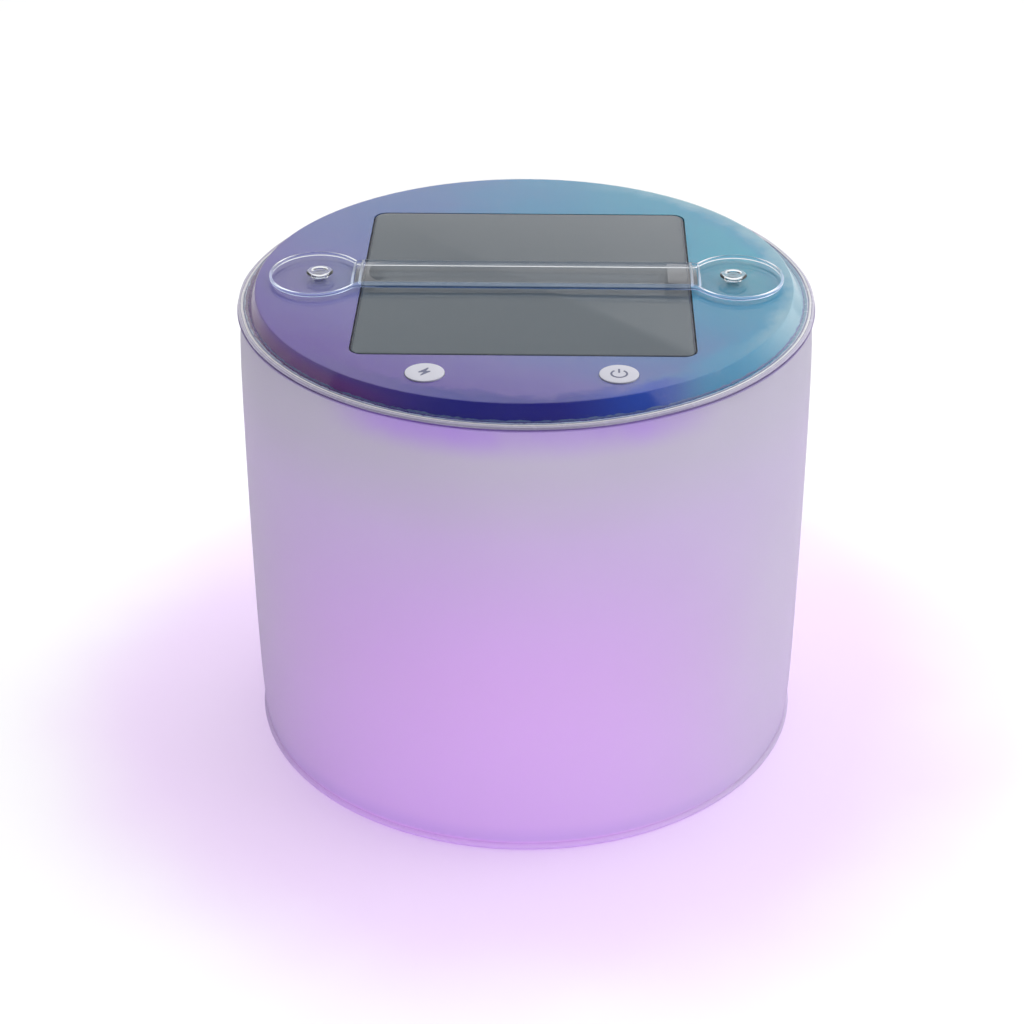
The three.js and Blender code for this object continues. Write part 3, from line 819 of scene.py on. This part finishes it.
def make_base():
    """The base film, drawn up a little and puckered towards its seam, with the valve's hole."""
    low, rise = BASE_LOW.z, BASE_HIGH.z - BASE_FILM
    edge, lip = BASE_HIGH.x, HEM_RADIUS - 2 * MM
    rings, steps = 12, 4
    shares = [i / steps for i in range(steps + 1)]
    slope = [(lip + (HEM_RADIUS - lip) * t, rise + (low - rise) * smoothstep(t)) for t in shares]
    under = [(lip * i / rings, rise) for i in range(rings)] + slope + [(edge, low)]
    over = [(r, z + BASE_FILM) for r, z in reversed(under)]

    def puckers(angle, radius, height):
        reach = max(0.0, (radius - 0.6 * lip) / (0.4 * lip)) * (1 if radius <= lip else 0)
        return radius, height - abs(ripple(angle, 60, 9.1)) * 0.5 * MM * reach

    base = revolve("base_membrane", under + over, shape=puckers)
    valve_low, valve_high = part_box("valve_flange")
    middle = (valve_low + valve_high) / 2
    hole = prism("hole", circle(VALVE_OPENING, middle.x, middle.y), -1 * MM, 5 * MM)
    carve(base, [hole])
    return finish_piece(base, "base", LIT_BASE, "frosted_film", "base_film")


# ---- valve ----
def make_valve():
    """The soft ring that holds the valve's stem."""
    low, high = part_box("valve_flange")
    centre = ((low.x + high.x) / 2, (low.y + high.y) / 2)
    outer = (high.x - low.x) / 2
    profile = [
        (VALVE_OPENING, low.z),
        (outer, low.z),
        (outer, low.z + 0.3 * MM),
        (outer - 0.5 * MM, high.z),
        (VALVE_OPENING, high.z),
    ]
    collar = revolve("valve_collar", profile, closed=True, segments=72, centre=centre)
    finish_piece(collar, "base", SOFT_VINYL, "clear_vinyl", "valve_flange")


# ---- light pod's skins ----
def shoulder(depth):
    """The deck's edge, from its flat top down to the rim, at a depth below the cover's surface."""
    corner = DOME_RADIUS - (COVER_HIGH.z - RIM_TOP) / math.tan(SHOULDER_SLOPE)
    mitre = math.tan(SHOULDER_SLOPE / 2)
    bend = SHOULDER_BEND - depth
    turn = [(corner - depth * mitre, COVER_HIGH.z - depth)]
    if bend > 0:
        centre = corner - SHOULDER_BEND * mitre
        turn = arc(centre, COVER_HIGH.z - SHOULDER_BEND, bend, 90, 90 - math.degrees(SHOULDER_SLOPE))
    return turn + [(DOME_RADIUS - depth / math.sin(SHOULDER_SLOPE), RIM_TOP)]


def lean(angle, radius, height):
    """The pod's skins aren't quite true: their top edge lies out at the left and in at the front."""
    left, front = -0.7 * MM * math.cos(angle), -0.6 * MM * min(0.0, math.sin(angle)) ** 4
    outer = min(1.0, radius / DOME_RADIUS) ** 8
    upper = min(1.0, max(0.0, height - RIM_TOP) / (COVER_HIGH.z - RIM_TOP))
    return radius + (left + front) * outer * upper, height


def make_deck():
    """The printed deck, with a window for the panel and a hole for each button."""
    outside = COVER_HIGH.z - DECK_HIGH.z
    inside = outside + 0.9 * MM
    profile = (
        [(0.0, COVER_HIGH.z - inside)]
        + shoulder(inside)
        + shoulder(outside)[::-1]
        + [(0.0, DECK_HIGH.z)]
    )
    deck = revolve("deck_print", profile, shape=lean)
    gap = Vector((0.3 * MM, 0.3 * MM, 0))
    opening = rounded_rectangle(PANEL_LOW - gap, PANEL_HIGH + gap, PANEL_CORNER)
    above = DECK_HIGH.z + 1 * MM
    cutters = [prism("window", opening, DECK_LOW.z, above)]
    cutters += button_cutters(DECK_LOW.z, above)
    carve(deck, cutters)
    return finish_piece(deck, "light_pod", PRINT, "printed_deck", "printed_deck")


BUTTON_NAMES = ("charge_check_button", "power_button")
BUTTON_INSET = 0.15 * MM
BUTTON_GAP = 0.08 * MM
BUTTON_RISE = 0.3 * MM


def button_radius(low, high):
    """The cap's radius, a little less than its CAD node's."""
    return (high.x - low.x) / 2 - BUTTON_INSET


def button_cutters(low, high):
    cutters = []
    for name in BUTTON_NAMES:
        corner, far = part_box(name)
        middle = (corner + far) / 2
        radius = button_radius(corner, far) + BUTTON_GAP
        cutters.append(prism("hole", circle(radius, middle.x, middle.y), low, high))
    return cutters


def rim_waves(angle, radius, height):
    """The welded rim's edge isn't quite true."""
    reach = max(0.0, (radius - DOME_RADIUS) / RIM_WIDTH)
    outward = (ripple(angle, 24, 2.2) * 0.25 - 0.12) * MM
    upward = ripple(angle, 16, 7.7) * 0.12 * MM
    return radius + outward * reach, height + upward * reach


def make_cover():
    """The clear film over the deck."""
    inside = shoulder(FILM)
    dome = (
        [(0.0, COVER_HIGH.z - FILM)]
        + inside
        + [(inside[-1][0], RIM_TOP - FILM), (DOME_RADIUS, RIM_TOP - FILM)]
        + shoulder(0)[::-1]
        + [(0.0, COVER_HIGH.z)]
    )
    cover = revolve("clear_cover", dome, shape=lean)
    carve(cover, button_cutters(COVER_HIGH.z - FILM - 1 * MM, COVER_HIGH.z + 1 * MM))
    return finish_piece(cover, "light_pod", CLEAR, "cover_film", "cover_film")


def make_rim():
    """The rim of welded film round the cover, with low ridges that run round it."""
    ridges = [
        (0.05, 0.1), (0.15, 0.1), (0.3, 0.0), (0.45, -0.05),
        (0.65, 0.08), (0.9, 0.12), (1.05, 0.0), (1.25, 0.06),
    ]
    top = [(DOME_RADIUS + r * MM, RIM_TOP + z * MM) for r, z in ridges]
    bend = (RIM_TOP - RIM_BOTTOM) / 2
    edge = arc(RIM_RADIUS - bend, RIM_TOP - bend, bend, 80, -90, 10)
    start = DOME_RADIUS - 0.55 * MM
    profile = [(start, RIM_BOTTOM), (start, RIM_TOP - 0.02 * MM)] + top + edge
    rim = revolve("welded_rim", profile, closed=True, shape=rim_waves)
    return finish_piece(rim, "light_pod", WELDED, "cover_film", "cover_film")


def make_septum():
    """The clear film under the pod, a shallow dish with a flange in the rim."""
    low, top = SEPTUM_LOW.z, SEPTUM_HIGH.z
    film, corner, radius = SEPTUM_FILM, 1.0 * MM, 58.9 * MM
    profile = (
        [(0.0, low)]
        + arc(radius - corner, low + corner, corner, -90, 0, 6)
        + [(radius, top - film), (DOME_RADIUS, top - film), (DOME_RADIUS, top)]
        + [(radius - film, top)]
        + arc(radius - corner, low + corner, corner - film, 0, -90, 6)
        + [(0.0, low + film)]
    )
    septum = revolve("septum_sheet", profile)
    return finish_piece(septum, "light_pod", CLEAR, "clear_vinyl", "septum_film")


def make_panel():
    outline = rounded_rectangle(PANEL_LOW, PANEL_HIGH, PANEL_CORNER)
    panel = prism("solar_laminate", outline, PANEL_LOW.z, PANEL_HIGH.z, 0.12 * MM)
    return finish_piece(panel, "light_pod", LAMINATE, "solar_panel", "solar_panel")


# ---- buttons ----
# The lightning icon's outline, in millimetres from its button's centre.
BOLT = [
    (0.55, 1.85), (-1.35, -0.1), (-1.1, -0.3), (-0.15, -0.1), (-0.85, -1.5),
    (-0.6, -1.6), (1.2, 0.15), (1.15, 0.4), (0.25, 0.35), (0.75, 1.7),
]


def make_button(name, icons):
    """A round cap on a stem, with its icon printed on it. Its CAD node and its body share its name."""
    low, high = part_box(name)
    centre = ((low.x + high.x) / 2, (low.y + high.y) / 2)
    radius, thickness, stem = button_radius(low, high), 1.1 * MM, 1.5 * MM
    top = DECK_HIGH.z + BUTTON_RISE
    profile = (
        [(0.0, low.z), (stem, low.z), (stem, top - thickness), (radius, top - thickness)]
        + arc(radius - 0.1 * MM, top - 0.1 * MM, 0.1 * MM, 0, 90, 4)
        + [(radius * 0.6, top + 0.03 * MM), (0.0, top + 0.04 * MM)]
    )
    cap = revolve(f"{name}_cap", profile, segments=96, centre=centre)
    finish_piece(cap, name, BUTTON_FACE, "button_face", name)
    for i, outline in enumerate(icons):
        points = [(centre[0] + x * MM, centre[1] + y * MM) for x, y in outline]
        icon = prism(f"{name}_icon_{i + 1}", points, top + 0.02 * MM, top + 0.07 * MM)
        finish_piece(icon, name, ICON_INK, "button_face")


def power_icon():
    """A ring open at the top, with a bar in the opening."""
    gap, outer, inner, middle = math.radians(36), 1.8, 1.4, -0.1
    start, sweep = math.pi / 2 + gap, 2 * math.pi - 2 * gap
    outer_edge = circle(outer, 0, middle, 48, start, sweep)
    inner_edge = circle(inner, 0, middle, 48, start, sweep)
    bar = [(-0.2, 0.35), (0.2, 0.35), (0.2, 2.0), (-0.2, 2.0)]
    return [outer_edge + inner_edge[::-1], bar]


# ---- strap ----
PAD_CENTRE, PAD_REACH, PAD_HALF = 46.2 * MM, 10.3 * MM, 11.4 * MM
BAND_HALF = 6.1 * MM
BAND_END = 36  # in whole millimetres
BEAD_HALF = 0.32 * MM
STUD_PLACE = 45.4 * MM


def strap_edge(x):
    """Half the strap's width at x: the band runs out into an oval pad through a small hollow curve."""
    across = (abs(x) - PAD_CENTRE) / PAD_REACH
    oval = PAD_HALF * math.sqrt(max(0.0, 1 - across * across))
    soft = 0.5 * MM
    return soft * math.log(math.exp(BAND_HALF / soft) + math.exp(oval / soft))


def strap_outline(inset):
    """The strap's outline from above, anticlockwise, moved inwards by inset."""
    band = [x * MM for x in range(1 - BAND_END, BAND_END)]
    start, steps = BAND_END * MM, 24
    fillet = [start + (PAD_CENTRE - start) * i / steps for i in range(steps)]
    side = [-x for x in fillet[::-1]] + band + fillet
    right = circle(1.0, 0, 0, 49, -math.pi / 2, math.pi)
    oval = [(PAD_CENTRE + PAD_REACH * x, PAD_HALF * y) for x, y in right]
    front = [(x, -strap_edge(x)) for x in side]
    ring = front + oval + [(x, -y) for x, y in front[::-1]] + [(-x, -y) for x, y in oval]
    return [inwards(ring, i, inset) for i in range(len(ring))]


def inwards(ring, i, inset):
    """The i-th point of an anticlockwise ring, moved inwards."""
    x, y = ring[i]
    before, after = ring[i - 1], ring[(i + 1) % len(ring)]
    along = Vector((after[0] - before[0], after[1] - before[1])).normalized()
    return (x - along.y * inset, y + along.x * inset)


def make_strap():
    """The clear strap: a thin sheet with a bead round it.

    The left pad is riveted down, so the real band bends beside it; here the strap is built lying flat.
    """
    for name, parts, material in (
        ("strap_sheet", [strap_sheet()], STRAP_SHEET),
        ("strap_bead", strap_bead(), STRAP_VINYL),
        ("strap_matte_ends", matte_ends(), STRAP_MATTE),
    ):
        piece = joined(name, parts)
        thin_pads(piece)
        finish_piece(piece, None, material, "strap_vinyl", "strap_anchor_pad", "strap_band")
        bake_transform(piece)


def strap_sheet():
    """The thin middle of the strap, with a hole for the stud in each pad."""
    low, high = BAND_LOW.z, BAND_HIGH.z
    sheet = prism("sheet", strap_outline(0.4 * MM), high - 0.4 * MM, high - 0.06 * MM)
    hole = 2.2 * MM
    carve(sheet, [prism("hole", circle(hole, side * STUD_PLACE, 0, 40), low, high) for side in (-1, 1)])
    subdivide_along(sheet)
    return sheet


def strap_bead():
    """The bead round the strap, and the two ribs across each of the band's ends."""
    low, high = BAND_LOW.z, BAND_HIGH.z
    middle = (low + high) / 2
    bars = [tube("edge", strap_outline(BEAD_HALF), middle, BEAD_HALF, middle - low)]
    for side in (-1, 1):
        for x in (36.3, 38.0):
            rib = [(side * (x - 0.004 * y * y) * MM, y * MM) for y in range(-6, 7)]
            bars.append(tube("rib", rib, high - 0.2 * MM, 0.28 * MM, 0.26 * MM, closed=False))
    return bars


def thin_pads(piece):
    """The pads are thinner than the band between them."""
    for vertex in piece.data.vertices:
        share = min(1.0, max(0.0, (abs(vertex.co.x) - 36.4 * MM) / (1.6 * MM)))
        thinner = 1 - share * (BAND_HIGH.z - PAD_TOP) / (BAND_HIGH.z - BAND_LOW.z)
        vertex.co.z = BAND_LOW.z + (vertex.co.z - BAND_LOW.z) * thinner


def matte_ends():
    """The matte patches at the band's ends: square at the right, hollowed at the left."""
    half, far, hollow, steps = 5.2, 37.4, 3.5, 12
    right = [(31, -half), (far, -half), (far, half), (31, half)]
    shares = [i / steps for i in range(-steps, steps + 1)]
    curve = [(-34.5 + hollow * (1 - math.sqrt(1 - t * t)), half * t) for t in shares]
    left = [(-far, -half)] + curve + [(-far, half)]
    low, high = BAND_HIGH.z - 0.05 * MM, BAND_HIGH.z - 0.02 * MM
    outlines = [[(x * MM, y * MM) for x, y in outline] for outline in (left, right)]
    return [prism("matte", outline, low, high) for outline in outlines]


def subdivide_along(sheet):
    """Cuts the sheet across at every millimetre beside the pads, so that it can bend there."""
    shape = bmesh.new()
    shape.from_mesh(sheet.data)
    for x in [*range(-39, -27), 36, 37, 38, 39]:
        geometry = shape.verts[:] + shape.edges[:] + shape.faces[:]
        bmesh.ops.bisect_plane(shape, geom=geometry, plane_co=(x * MM, 0, 0), plane_no=(1, 0, 0))
    shape.to_mesh(sheet.data)
    shape.free()


def joined(name, parts):
    """Makes one piece of the parts."""
    if len(parts) == 1:
        parts[0].name = name
        return parts[0]
    with bpy.context.temp_override(active_object=parts[0], selected_editable_objects=parts):
        bpy.ops.object.join()
    parts[0].name = name
    return parts[0]


def tube(name, route, height, half_width, half_height, closed=True, sides=20):
    """A bar along a flat route, with a section between an oval and a rectangle."""
    count = len(route)
    vertices, faces = [], []
    for i, (x, y) in enumerate(route):
        before = route[i - 1] if closed or i else route[0]
        after = route[(i + 1) % count] if closed or i < count - 1 else route[-1]
        along = Vector((after[0] - before[0], after[1] - before[1])).normalized()
        for k in range(sides):
            a = 2 * math.pi * k / sides
            out = half_width * squarish(math.cos(a))
            up = half_height * squarish(math.sin(a))
            vertices.append((x + along.y * out, y - along.x * out, height + up))
    for i in range(count if closed else count - 1):
        j = (i + 1) % count
        for k in range(sides):
            m = (k + 1) % sides
            faces.append((i * sides + k, i * sides + m, j * sides + m, j * sides + k))
    if not closed:
        faces.append(tuple(range(sides)))
        faces.append(tuple(range((count - 1) * sides, count * sides))[::-1])
    return object_from(name, vertices, faces)


def squarish(value):
    """Takes a circle's sine or cosine towards a square's."""
    return math.copysign(abs(value) ** 0.55, value)


def make_stud(name, node_name, body):
    """A clear stud: a flat rounded ring on a short neck."""
    low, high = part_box(node_name)
    centre = ((low.x + high.x) / 2, (low.y + high.y) / 2)
    seat = PAD_TOP + 0.05 * MM
    head, neck, socket, crown = (high.x - low.x) / 2, 2.0 * MM, 1.55 * MM, high.z - seat
    half = 0.75 * MM
    turns = [math.radians(a) for a in range(0, 151, 15)]
    ring = [(head - half + half * math.cos(a), seat + crown * math.sin(a)) for a in turns]
    profile = (
        [(socket, low.z), (neck, low.z), (neck, seat)]
        + ring
        + [(1.3 * MM, seat + 0.15 * MM), (0.0, seat + 0.12 * MM), (0.0, seat), (socket, seat)]
    )
    stud = revolve(name, profile, closed=True, segments=64, centre=centre)
    return finish_piece(stud, body, STUD_VINYL, "clear_stud", node_name)


wall = make_wall()
make_base()
make_valve()
make_deck()
make_cover()
make_rim()
make_septum()
make_panel()
make_button("charge_check_button", [BOLT])
make_button("power_button", power_icon())
make_strap()
make_stud("left_stud", "anchor_rivet", "light_pod")
make_stud("right_stud", "snap_cap", "strap")


# ---- floor, light and camera ----
def make_floor():
    """A plain white floor. The lantern's lilac light, and the drum's shade, are painted into it close
    by.
    """
    size, thickness = 6.0, 0.02
    corners = [(-size, -size), (size, -size), (size, size), (-size, size)]
    floor = prism("floor", corners, -thickness, 0.0)
    material, tree, shader = principled("floor_white", Roughness=0.6, Specular_IOR_Level=0.1)
    shade = ramp(tree, cloud(tree, 0.4, 2.0), [(0.3, grey(0.95)), (0.7, grey(0.97))])
    # A painted pool of lilac light and shade round the drum, deepest close to it.
    reach = total(tree, distance(tree), wander(tree, 60 * MM, 7 * MM, 2.0))
    pool = fade(tree, reach, 130 * MM, 84 * MM)
    connect(tree, shader, Base_Color=mix(tree, pool, shade, (0.895, 0.75, 0.97)))
    floor.data.materials.append(material)
    return floor


def make_backdrop():
    """A pale curved wall round the stage. Only the camera sees it, so it leaves the light alone."""
    foot, bend, top = 4.0, 1.0, 5.0
    profile = arc(foot, bend, bend, -90, 0, 12) + [(foot + bend, top)]
    backdrop = revolve("backdrop", profile, segments=96)
    material, tree, shader = principled(
        "backdrop_white", Base_Color=(0, 0, 0, 1), Roughness=1.0, Emission_Strength=1.0
    )
    upward = fade(tree, height_of(tree), 0.0, top)
    connect(tree, shader, Emission_Color=ramp(tree, upward, [(0.0, grey(0.86)), (1.0, grey(0.94))]))
    material.cycles.emission_sampling = "NONE"
    backdrop.data.materials.append(material)
    backdrop.visible_diffuse = False
    backdrop.visible_glossy = False
    backdrop.visible_transmission = False
    backdrop.visible_shadow = False
    return smooth(backdrop)


def make_sky():
    """A soft white studio: bright behind and at the right, dimmer at the left, and dark in front."""
    world = bpy.data.worlds.new("studio")
    bpy.context.scene.world = world
    world.use_nodes = True
    tree = world.node_tree
    split = node(tree, "SeparateXYZ", {"Vector": node(tree, "TexCoord").outputs["Generated"]})
    x, y = split.outputs["X"], split.outputs["Y"]
    rightward = fade(tree, x, -1.0, 1.0)
    side = ramp(tree, rightward, [(0.0, grey(0.75)), (0.5, grey(1.05)), (1.0, grey(1.5))])
    behind = fade(tree, total(tree, product(tree, x, 0.15), y), -0.28, -0.22)
    tree.links.new(mix(tree, behind, grey(0.2), side), tree.nodes["Background"].inputs["Color"])


def make_lamp(name, spot, aim, size, power):
    """A soft round white lamp that the camera doesn't see."""
    data = bpy.data.lights.new(name, "AREA")
    data.shape = "DISK"
    data.size = size
    data.energy = power
    lamp = make_object(name, data)
    lamp.visible_camera = False
    lamp.location = spot
    lamp.rotation_euler = (Vector(aim) - Vector(spot)).to_track_quat("-Z", "Y").to_euler()
    return lamp


def light_only(lamp, *lit, shadows_from=None):
    """Keeps the lamp's light to the given objects. shadows_from names what can shade them."""
    receivers = bpy.data.collections.new(lamp.name + "_lit")
    for piece in lit:
        receivers.objects.link(piece)
    lamp.light_linking.receiver_collection = receivers
    if shadows_from:
        blockers = bpy.data.collections.new(lamp.name + "_blockers")
        blockers.objects.link(shadows_from)
        lamp.light_linking.blocker_collection = blockers


def make_glow(floor):
    """The lantern's own light on the ground round it, which the drum lets through."""
    data = bpy.data.lights.new("lantern_glow", "POINT")
    data.shadow_soft_size = 30 * MM
    data.energy = 0.035
    data.color = (0.62, 0.0, 1.0)
    glow = make_object("lantern_glow", data)
    glow.location = (0, 0, 45 * MM)
    light_only(glow, floor, shadows_from=floor)


def make_lamps(floor, wall):
    """A key light, a low front light on the wall, and two more that only light the floor."""
    make_lamp("key", (1.2, 0.2, 1.2), (0, 0, 0.05), 0.9, 2.5)
    fill = make_lamp("fill", (0.2, -1.6, 0.22), (0, 0, 0.05), 0.7, 12)
    light_only(fill, wall)
    overhead = make_lamp("floor_light", (-0.5, -0.1, 2.1), (0, 0, 0), 1.6, 12)
    light_only(overhead, floor, shadows_from=floor)
    left = make_lamp("left_light", (-0.3, -0.02, 0.3), (-0.1, 0, 0), 0.3, 0.2)
    light_only(left, floor, shadows_from=floor)


def make_camera():
    """Stands the camera off from its aim, by the distance and angles at the top."""
    data = bpy.data.cameras.new("camera")
    data.lens = CAMERA_LENS
    data.shift_x = CAMERA_SHIFT
    data.clip_start = 0.01
    camera = make_object("camera", data)
    level, up = math.cos(CAMERA_ELEVATION), math.sin(CAMERA_ELEVATION)
    back = Vector((math.sin(CAMERA_AZIMUTH) * level, -math.cos(CAMERA_AZIMUTH) * level, up))
    camera.location = CAMERA_AIM + back * CAMERA_DISTANCE
    camera.rotation_euler = back.to_track_quat("Z", "Y").to_euler()
    bpy.context.scene.camera = camera


floor = make_floor()
make_backdrop()
make_sky()
make_glow(floor)
make_lamps(floor, wall)
make_camera()
bpy.context.scene.view_settings.view_transform = "Standard"
